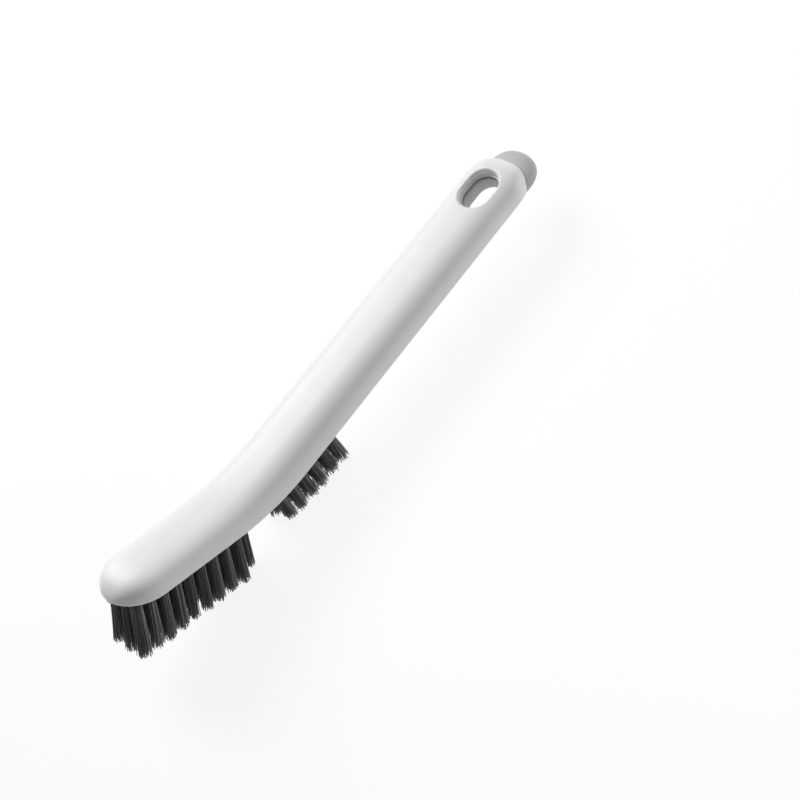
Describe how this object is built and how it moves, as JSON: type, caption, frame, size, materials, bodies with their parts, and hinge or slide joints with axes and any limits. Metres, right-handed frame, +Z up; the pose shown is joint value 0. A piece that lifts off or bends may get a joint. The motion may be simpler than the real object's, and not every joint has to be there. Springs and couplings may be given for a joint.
{
  "type": "shoe brush",
  "caption": "Slim bent-handle shoe brush: a domed top shell pegged onto a full-length core with a hang slot and tongue, and staple-set bristle tufts under head and handle.",
  "frame": {"origin": "on the ground under the middle of the brush, which stands on the tips of its handle field and of the rearmost tufts of its head", "axes": "+X from the head to the tail along the handle, +Y across the brush, +Z up"},
  "size_m": [0.2188, 0.025, 0.0463],
  "materials": {
    "shell": "satin white moulding",
    "core": "fine matte grey moulding",
    "bristles": "dark grey nylon filament",
    "anchor_wire": "drawn flat wire"
  },
  "bodies": {
    "root": {"top_shell": "shell", "bristle_core": "core", "head_bristles": "bristles", "handle_bristles": "bristles", "head_anchor_01": "anchor_wire", "head_anchor_02": "anchor_wire", "head_anchor_03": "anchor_wire", "head_anchor_04": "anchor_wire", "head_anchor_05": "anchor_wire", "head_anchor_06": "anchor_wire", "head_anchor_07": "anchor_wire", "head_anchor_08": "anchor_wire", "head_anchor_09": "anchor_wire", "head_anchor_10": "anchor_wire", "head_anchor_11": "anchor_wire", "head_anchor_12": "anchor_wire", "head_anchor_13": "anchor_wire", "head_anchor_14": "anchor_wire", "head_anchor_15": "anchor_wire", "head_anchor_16": "anchor_wire", "head_anchor_17": "anchor_wire", "head_anchor_18": "anchor_wire", "head_anchor_19": "anchor_wire", "head_anchor_20": "anchor_wire", "head_anchor_21": "anchor_wire", "head_anchor_22": "anchor_wire", "head_anchor_23": "anchor_wire", "head_anchor_24": "anchor_wire", "head_anchor_25": "anchor_wire", "head_anchor_26": "anchor_wire", "head_anchor_27": "anchor_wire", "head_anchor_28": "anchor_wire", "head_anchor_29": "anchor_wire", "handle_anchor_01": "anchor_wire", "handle_anchor_02": "anchor_wire", "handle_anchor_03": "anchor_wire", "handle_anchor_04": "anchor_wire", "handle_anchor_05": "anchor_wire", "handle_anchor_06": "anchor_wire", "handle_anchor_07": "anchor_wire", "handle_anchor_08": "anchor_wire", "handle_anchor_09": "anchor_wire", "handle_anchor_10": "anchor_wire", "handle_anchor_11": "anchor_wire", "handle_anchor_12": "anchor_wire", "handle_anchor_13": "anchor_wire", "handle_anchor_14": "anchor_wire", "handle_anchor_15": "anchor_wire", "handle_anchor_16": "anchor_wire", "handle_anchor_17": "anchor_wire", "handle_anchor_18": "anchor_wire"}
  },
  "joints": []
}
